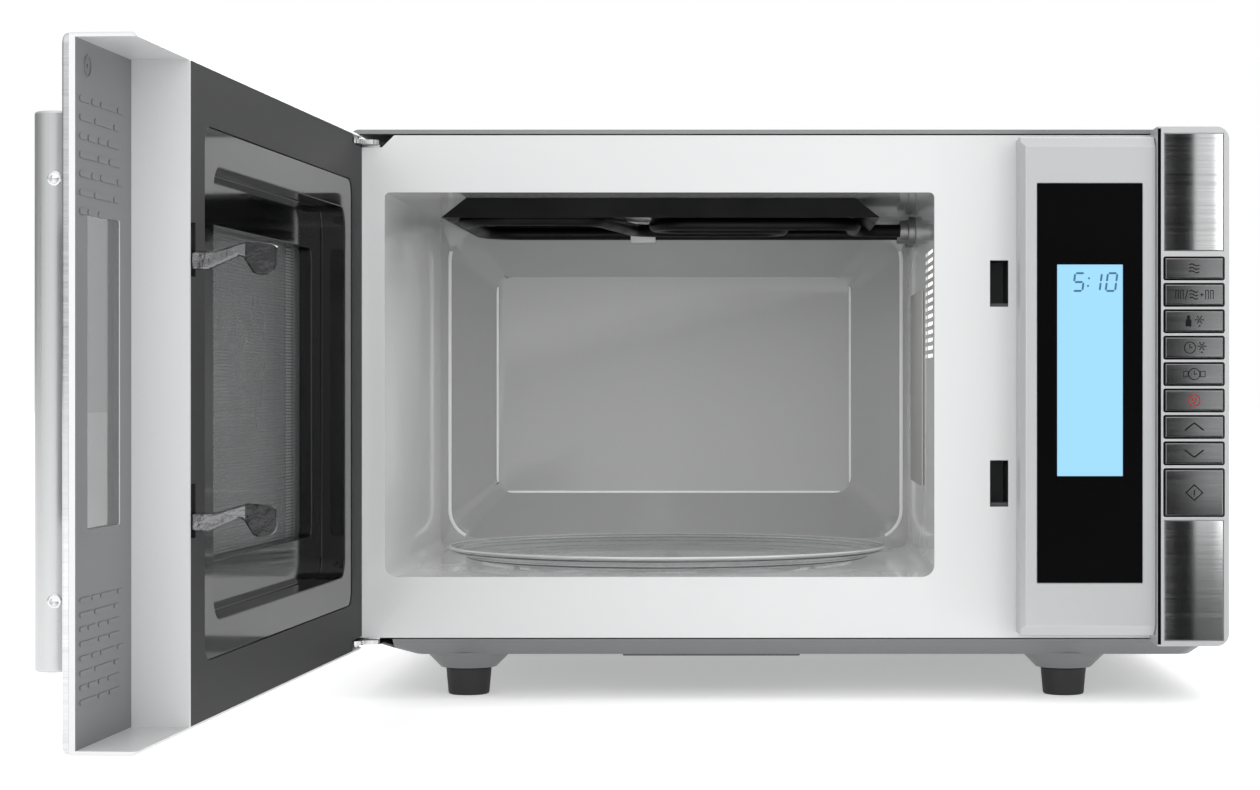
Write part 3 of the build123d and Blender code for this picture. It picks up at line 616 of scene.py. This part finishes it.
def chevron(way):
    tip = arc_points(0, 0, 1.4, 125, 55, 6)
    line = [(-5.2, -1.9)] + [(x, y + 0.5) for x, y in tip] + [(5.2, -1.9)]
    return [ribbon([(x, y * way) for x, y in line], 0.8)]


def stop_mark():
    triangle = [(0, -1.5), (1.35, 0.85), (-1.35, 0.85)]
    return [ring(0, 0, 3.1, 0.6), ribbon(triangle, 0.55, True)]


def start_mark():
    diamond = [(0, -4.3), (4.6, 0), (0, 4.3), (-4.6, 0)]
    return [ribbon(diamond, 0.65, True), ribbon([(0, -1.5), (0, 1.5)], 0.65)]


MARKS = {
    "microwave_key": lambda: waves(0, 5.6),
    "grill_key": lambda: (heater_mark(-8.2) + [ribbon([(-5.0, -2.8), (-3.6, 2.8)], LINE * 0.8)]
                          + waves(-0.3, 4.6) + [ribbon([(3.2, 0), (5.2, 0)], LINE * 0.8),
                                                ribbon([(4.2, -1), (4.2, 1)], LINE * 0.8)]
                          + heater_mark(8.4)),
    "weight_key": lambda: weight_mark(-3.2, 0) + snow_mark(2.9, 0.8),
    "defrost_key": lambda: clock_mark(-2.4, 0) + snow_mark(4.2, 0.8),
    "clock_key": lambda: clock_mark(0, 0) + [block_mark(-4.7), block_mark(4.7)],
    "stop_key": stop_mark,
    "up_key": lambda: chevron(1),
    "down_key": lambda: chevron(-1),
    "start_key": start_mark,
}


def key_marks():
    for key, drawing in MARKS.items():
        low, high = span(key)
        middle = (low + high) / 2

        def place(u, v, h, middle=middle, face=low.y):
            return Vector((middle.x + u, face + 0.02 - h, middle.z + v)) * MM

        mark = solid_print(key + "_mark", drawing(), place, 0.06)
        placed(mark, key, "stop_red" if key == "stop_key" else "mark_ink")


def key_surrounds():
    """The black gap line around each key, and a dark strip down the column's left edge: painted shade for the gap
    between fascia and column.
    """
    low, high = span("key_column")
    for key in MARKS:
        k0, k1 = span(key)
        x0, x1, z0, z1 = k0.x - GAP, k1.x + GAP, k0.z - GAP, k1.z + GAP
        rim = rounded([(x0, z0), (x1, z0), (x1, z1), (x0, z1)], 0.9)
        line = solid_print(key + "_gap", [ribbon(rim, 0.75, True)],
                           lambda u, v, h: Vector((u, low.y + 0.02 - h, v)) * MM, 0.12)
        placed(line, "oven", "black_gloss")
    # painted shade where the column stands off the fascia
    strip = patch((low.x + 0.1, low.z + 1), (low.x + 1.9, low.z + 1), (low.x + 1.9, high.z - 1),
                  (low.x + 0.1, high.z - 1))
    line = solid_print("column_edge_strip", [strip],
                       lambda u, v, h: Vector((u, low.y + 0.02 - h, v)) * MM, 0.15)
    placed(line, "oven", "black_gloss")


def rounded(corners, radius, steps=4):
    """A rectangle's outline with its corners rounded; corners run left low, right low, and round."""
    (x0, z0), (x1, _), (_, z1), _ = corners
    return (arc_points(x0 + radius, z0 + radius, radius, 180, 270, steps)
            + arc_points(x1 - radius, z0 + radius, radius, 270, 360, steps)
            + arc_points(x1 - radius, z1 - radius, radius, 0, 90, steps)
            + arc_points(x0 + radius, z1 - radius, radius, 90, 180, steps))


# ------------------------------------------------------------------ display digits
DIGIT_H, DIGIT_W, BAR, SLANT = 11.0, 6.4, 1.15, 0.13
SEGMENTS = {0: "abcdef", 1: "bc", 5: "afgcd"}


def digit(value, x):
    """Seven-bar digit with its lower left corner at x."""
    half, w, inset, t = DIGIT_H / 2, DIGIT_W, 0.25, BAR / 2
    across = lambda y: ((x + t + inset, y), (x + w - t - inset, y))
    upright = lambda px, y0, y1: ((px, y0 + inset + t), (px, y1 - inset - t))
    ends = {"a": across(DIGIT_H - t), "g": across(half), "d": across(t),
            "b": upright(x + w - t, half - t, DIGIT_H), "c": upright(x + w - t, 0, half + t),
            "f": upright(x + t, half - t, DIGIT_H), "e": upright(x + t, 0, half + t)}
    bars = []
    for name in SEGMENTS[value]:
        (x0, y0), (x1, y1) = ends[name]
        if y0 == y1:
            outline = [(x0, y0), (x0 + t, y0 - t), (x1 - t, y0 - t), (x1, y0), (x1 - t, y0 + t),
                       (x0 + t, y0 + t)]
        else:
            outline = [(x0, y0), (x0 + t, y0 + t), (x0 + t, y1 - t), (x0, y1), (x0 - t, y1 - t),
                       (x0 - t, y0 + t)]
        bars.append(patch(*outline))
    return bars


def display_digits():
    low, high = span("lcd_display")
    right, top = high.x - 1.5, high.z - 1.5
    left = right - 2.6 - 25.0
    sheets = digit(5, left) + digit(1, left + 9.6) + digit(0, left + 18.2)
    sheets += [disc(left + 8.6, y, 0.6) for y in (3.4, 7.6)]

    def place(u, v, h):
        return Vector((u + SLANT * (v - DIGIT_H / 2), low.y + 0.02 - h, top - 15.2 + v)) * MM

    placed(solid_print("display_digits", sheets, place, 0.07), "oven", "lcd_ink")


# ------------------------------------------------------------------ door details, drawn closed
def closed_place(x, y, z):
    return OPENED @ (Vector((x, y, z)) * MM)


def perforated_screen():
    """The sheet with real holes that keeps the oven's field in, behind the inner window."""
    low, high = span("window_screen", True)
    pitch, hole, rim = 1.9, 0.66, 11
    x0, x1, z0, z1 = low.x + rim, high.x - rim, low.z + rim, high.z - rim
    middle_y = low.y + 2.4                # the holed sheet's plane
    reach = pitch / 3 ** 0.5
    corners = [(cos(pi / 6 + pi / 3 * k), sin(pi / 6 + pi / 3 * k)) for k in range(6)]
    verts, faces, known = [], [], {}

    def vert(x, z):
        key = (round(x * 50), round(z * 50))
        if key not in known:
            known[key] = len(verts)
            verts.append(closed_place(x, middle_y, z))
        return known[key]

    rows = int((z1 - z0) / (pitch * 0.866)) + 1
    columns = int((x1 - x0) / pitch) + 1
    for j in range(rows):
        for i in range(columns):
            cx, cz = x0 + (i + 0.5 * (j % 2)) * pitch, z0 + j * pitch * 0.8660254
            outer = [vert(cx + reach * a, cz + reach * b) for a, b in corners]
            inner = [vert(cx + hole * a, cz + hole * b) for a, b in corners]
            for k in range(6):
                m = (k + 1) % 6
                faces.append((outer[k], outer[m], inner[m], inner[k]))
    sheet = new_mesh("perforated_screen", verts, faces)
    border_y = (middle_y + 0.15, middle_y - 0.25)
    outline = [(low.x, low.z), (high.x, low.z), (high.x, high.z), (low.x, high.z)]
    inside = [(x0 + 1.2, z0 + 1.2), (x1 - 0.4, z0 + 1.2), (x1 - 0.4, z1 - 1.2), (x0 + 1.2, z1 - 1.2)]
    quads = [[k, (k + 1) % 4, 4 + (k + 1) % 4, 4 + k] for k in range(4)]
    border = solid_print("screen_border", [(outline + inside, quads)],
                         lambda u, v, h: closed_place(u, border_y[0] - h, v), border_y[0] - border_y[1])
    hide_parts("window_screen")
    placed(sheet, "door", "screen_metal")
    placed(edge_softened(border, 0.1, 1), "door", "screen_metal")


def painted_skin_shade():
    """The thin inner skin beside the choke gets a darker copy of the frame's plastic: painted shade, since skin
    and choke walls are one moulded part.
    """
    piece = bpy.data.objects["door_frame_finished"]
    piece.data.materials.append(finish("skin_plastic"))
    back = OPENED.inverted()
    inner_y = span("door_frame", True)[0].y + 4
    beside_x = span("choke_cover", True)[1].x + 2
    for face in piece.data.polygons:
        centre, way = back @ face.center / MM, back.to_3x3() @ face.normal
        if way.y > 0.9 and centre.x > beside_x and centre.y < inner_y:
            face.material_index = 1


def painted_dark_hook_heads():
    """The latch hooks' wide heads get a darker steel than their arms, from the neck on: a painted dark reflection,
    not a different metal.
    """
    hooks = bpy.data.objects["latch_hooks_finished"]
    hooks.data.materials[0] = finish("hook_steel")
    hooks.data.materials.append(finish("hook_head"))
    neck = span("latch_hooks", True)[1].y - 13.5
    back = OPENED.inverted()
    shape = bmesh.new()
    shape.from_mesh(hooks.data)
    bmesh.ops.bisect_plane(shape, geom=shape.verts[:] + shape.edges[:] + shape.faces[:],
                           plane_co=closed_place(0, neck, 0),
                           plane_no=OPENED.to_3x3() @ Vector((0, 1, 0)))
    for face in shape.faces:
        face.material_index = int((back @ face.calc_center_median() / MM).y > neck)
    shape.to_mesh(hooks.data)
    shape.free()


OWN_FINISHES = {"window_bezel_finished": "bezel_gloss", "grill_clip_finished": "clip_steel",
                "grill_bushes_finished": "ceramic"}


def own_finishes():
    """Pieces whose finish is finer than the slot they share with others; the cavity liner instead gets a brighter
    copy of the cavity enamel, which is painted light on the side walls.
    """
    for name, slot in OWN_FINISHES.items():
        bpy.data.objects[name].data.materials[0] = finish(slot)
    nodes["display_window"].data.materials[0] = finish("display_pane")
    nodes["cavity_liner"].data.materials[0] = finish("liner_enamel")


def raised_bars():
    """Plain raised bars and a mould mark on the door's inner skin, where makers put their notes."""
    low, high = span("door_frame", True)
    skin, edge = low.y + 2.6, high.x - 6.5
    sheets = []
    blocks = ((high.z - 26, 7, 7.6, 1.2), (low.z + 62, 8, 5.9, 0.9))
    words = ((13, 9, 21, 8), (17, 24, 7), (8, 11, 10, 16), (22, 12, 15))
    for top, rows, pitch, half in blocks:
        for row in range(rows):
            x, z = edge, top - pitch * row
            for length in words[row % 4][: 4 - (row == rows - 1)]:
                sheets.append(patch(*(arc_points(x, z, half, 90, -90, 4)
                                      + arc_points(x - length + half, z, half, 270, 90, 4))))
                x -= length + 3.2
    mark = ring(edge - 10, high.z - 12, 4.2, 0.6, 28)
    sheets += [mark, disc(edge - 10, high.z - 12, 1.0)]
    piece = solid_print("skin_bars", sheets, lambda u, v, h: closed_place(u, skin - 0.05 + h, v), 0.55)
    # the bars take the inner skin's darker plastic, which is painted shade
    placed(piece, "door", "skin_plastic")


def handle_set_screws():
    """A domed set screw in the tube's side at each post."""
    tube_low, tube_high = span("handle_tube", True)
    post_low, post_high = span("handle_posts", True)
    y = (tube_low.y + tube_high.y) / 2 + 2
    steps, rings_ = 28, ((3.3, 0.0), (3.3, 0.35), (2.9, 0.7), (1.9, 0.95), (1.7, 0.55), (0.0, 0.5))
    for name, z in (("upper", post_high.z - 5), ("lower", post_low.z + 5)):
        verts, faces = [], []
        for r, out in rings_:
            for i in range(steps):
                a = 2 * pi * i / steps
                verts.append(closed_place(tube_high.x - 0.6 + out, y + r * cos(a), z + r * sin(a)))
        for k in range(len(rings_) - 1):
            for i in range(steps):
                j = (i + 1) % steps
                faces.append((k * steps + i, k * steps + j, (k + 1) * steps + j, (k + 1) * steps + i))
        screw = made_solid(new_mesh(name + "_set_screw", verts, faces, True), 0.002)
        placed(screw, "door", "polished_steel")


# ------------------------------------------------------------------ glass tray with its rings
def glass_tray():
    """The tray turned from one fine profile: flat middle, ringed floor and a rolled rim."""
    low, high = span("glass_tray")
    middle, radius, base, top = (low + high) / 2, (high.x - low.x) / 2, low.z, high.z
    upper = []
    for step in range(0, 60):
        r = 110 * step / 59
        ripple = 0.28 * (1 + cos(2 * pi * r / 7.5)) / 2 if r > 22 else 0
        upper.append((r, base + 4.0 - ripple))
    upper += [(114, base + 4.4), (119, base + 6.0), (124, base + 7.9), (128, base + 8.9),
              (131.5, base + 9.4), (radius - 2, base + 9.68), (radius - 0.8, top)]
    under = [(radius - 0.2, top - 0.35), (radius, base + 9.0), (radius - 0.2, base + 8.5),
             (radius - 0.8, base + 8.1), (131, base + 6.9), (128, base + 5.6), (121, base + 3.2),
             (115, base + 1.0), (112, base + 0.15), (110, base), (60, base), (0, base)]
    profile, steps = upper + under, 180
    verts, faces = [], []
    for r, z in profile:
        for i in range(steps):
            a = 2 * pi * i / steps
            verts.append(Vector((middle.x + r * cos(a), middle.y + r * sin(a), z)) * MM)
    for k in range(len(profile) - 1):
        for i in range(steps):
            j = (i + 1) % steps
            faces.append((k * steps + i, k * steps + j, (k + 1) * steps + j, (k + 1) * steps + i))
    tray = made_solid(new_mesh("ringed_glass_tray", verts, faces, True), 0.001)
    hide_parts("glass_tray")
    placed(tray, "turntable", "tray_glass")


def hoop(name, middle, r, z, thick, slot):
    """A thin hoop lying flat, of round section: one line along the glass."""
    steps, around, verts, faces = 180, 8, [], []
    for i in range(steps):
        a = 2 * pi * i / steps
        for k in range(around):
            b = 2 * pi * k / around
            reach = r + thick * cos(b)
            verts.append(Vector((middle.x + reach * cos(a), middle.y + reach * sin(a),
                                 z + thick * sin(b))) * MM)
    for i in range(steps):
        j = (i + 1) % steps
        for k in range(around):
            m = (k + 1) % around
            faces.append((i * around + k, i * around + m, j * around + m, j * around + k))
    placed(new_mesh(name, verts, faces, True), "turntable", slot)


def painted_rim_lines():
    """Lines along the pressed glass edge: pale hoops at the lip and inside the rim are painted highlights, dark
    hoops where the rim turns down and near the foot are painted shade.
    """
    low, high = span("glass_tray")
    middle, radius = (low + high) / 2, (high.x - low.x) / 2
    hoop("tray_lip", middle, radius - 0.9, high.z - 0.35, 0.5, "glass_edge")
    hoop("tray_inner_line", middle, radius - 8.5, low.z + 8.1, 0.35, "glass_edge")
    hoop("tray_turn", middle, radius - 3.0, low.z + 7.0, 0.45, "glass_shade")
    hoop("tray_foot_line", middle, radius - 12.5, low.z + 2.9, 0.4, "glass_shade")


# ------------------------------------------------------------------ under the cabinet
def base_details():
    """A flat cover strip under the middle of the pan."""
    z = span("base_pan")[0].z + 9.0       # the pan's flat underside
    strip = [(MID_X - 93, FACE_Y + 28), (MID_X + 9, FACE_Y + 28), (MID_X + 9, FACE_Y + 96),
             (MID_X - 93, FACE_Y + 96)]
    cover = solid_print("base_strip", [patch(*strip)], lambda u, v, h: Vector((u, v, z + 0.1 - h)) * MM, 2.2)
    placed(edge_softened(cover, 0.7), "oven", "grey_plastic")


def outline_bead(name, box, radius, y, bead, keep):
    """A half-round bead along a rounded rectangle on the cavity's back wall, kept only where keep allows and in a
    whiter enamel: it stands for the light line on the dish's rounded bends, a painted highlight.
    """
    x0, x1, z0, z1 = box
    path = rounded([(x0, z0), (x1, z0), (x1, z1), (x0, z1)], radius, 10)
    count, steps, verts, faces = len(path), 8, [], []
    for i, (x, z) in enumerate(path):
        before, after = Vector(path[i - 1]), Vector(path[(i + 1) % count])
        along = (after - before).normalized()
        side = Vector((along.y, -along.x))
        for k in range(steps + 1):
            a = pi * k / steps
            verts.append(at(x + side.x * bead * cos(a), y + 0.1 - 0.7 * bead * sin(a),
                            z + side.y * bead * cos(a)))
    for i in range(count):
        j = (i + 1) % count
        if not (keep(*path[i]) and keep(*path[j])):
            continue
        for k in range(steps):
            faces.append((i * (steps + 1) + k, i * (steps + 1) + k + 1, j * (steps + 1) + k + 1,
                          j * (steps + 1) + k))
        faces.append((i * (steps + 1) + steps, i * (steps + 1), j * (steps + 1), j * (steps + 1) + steps))
    placed(new_mesh(name, verts, faces, True), "oven", "bead_enamel")


def dish_highlight_beads():
    # the light lines along the dish's mouth and floor edges: painted highlights, kept off the top
    low, high = span("cavity_back")
    mouth_y, floor_y = low.y - FACE_Y, high.y - FACE_Y - 1
    outline_bead("dish_mouth_bead", (-220.4, 80.4, 76.5, 281.5), 19.5, mouth_y, 1.3,
                 lambda x, z: z < 270 and (x < -208 or x > 68))
    outline_bead("dish_floor_bead", (-190.6, 47.0, 106.9, 251.8), 5, floor_y, 0.9,
                 lambda x, z: z < 249)


def lamp_lens():
    """The lit pane behind the slots in the cavity's right wall."""
    low, high = span("cavity_lamp")
    x = low.x + 0.4
    outline = [(low.y - 34, low.z - 12), (high.y - 10, low.z - 12), (high.y - 10, high.z + 20),
               (low.y - 34, high.z + 20)]
    lens = solid_print("lamp_lens", [patch(*outline)], lambda u, v, h: Vector((x + h, u, v)) * MM, 1.0)
    placed(lens, "oven", "lamp_glow")


# ------------------------------------------------------------------ making everything
EDGE_WIDTHS = {"latch_hooks": 1.1, "window_bezel": 0.7, "choke_cover": 0.5, "door_frame": 0.5,
               "control_fascia": 0.5, "key_column": 0.5, "front_plate": 0.3, "display_panel": 0.25,
               "handle_posts": 0.4, "feet": 1.2, "base_pan": 0.6, "door_panel": 0.4, "roller_ring": 0.5,
               "turntable_coupler": 0.6, "grill_clip": 0.2, "waveguide_cover": 0.2, "outer_casing": 0.3,
               "hinge_brackets": 0.4, "grill_bushes": 0.5, "rear_panel": 0.2, "casing_screws": 0.5,
               "trim_panels": 0.25, "cavity_back": 2.5}
bpy.context.scene.view_settings.view_transform = "Standard"
camera()
studio()
floor()
flags()
for node, width in EDGE_WIDTHS.items():
    refined(node, width)
for key in MARKS:
    refined(key, 0.12, 20)
painted_skin_shade()
painted_dark_hook_heads()
own_finishes()
key_marks()
key_surrounds()
display_digits()
perforated_screen()
raised_bars()
handle_set_screws()
glass_tray()
painted_rim_lines()
base_details()
lamp_lens()
dish_highlight_beads()
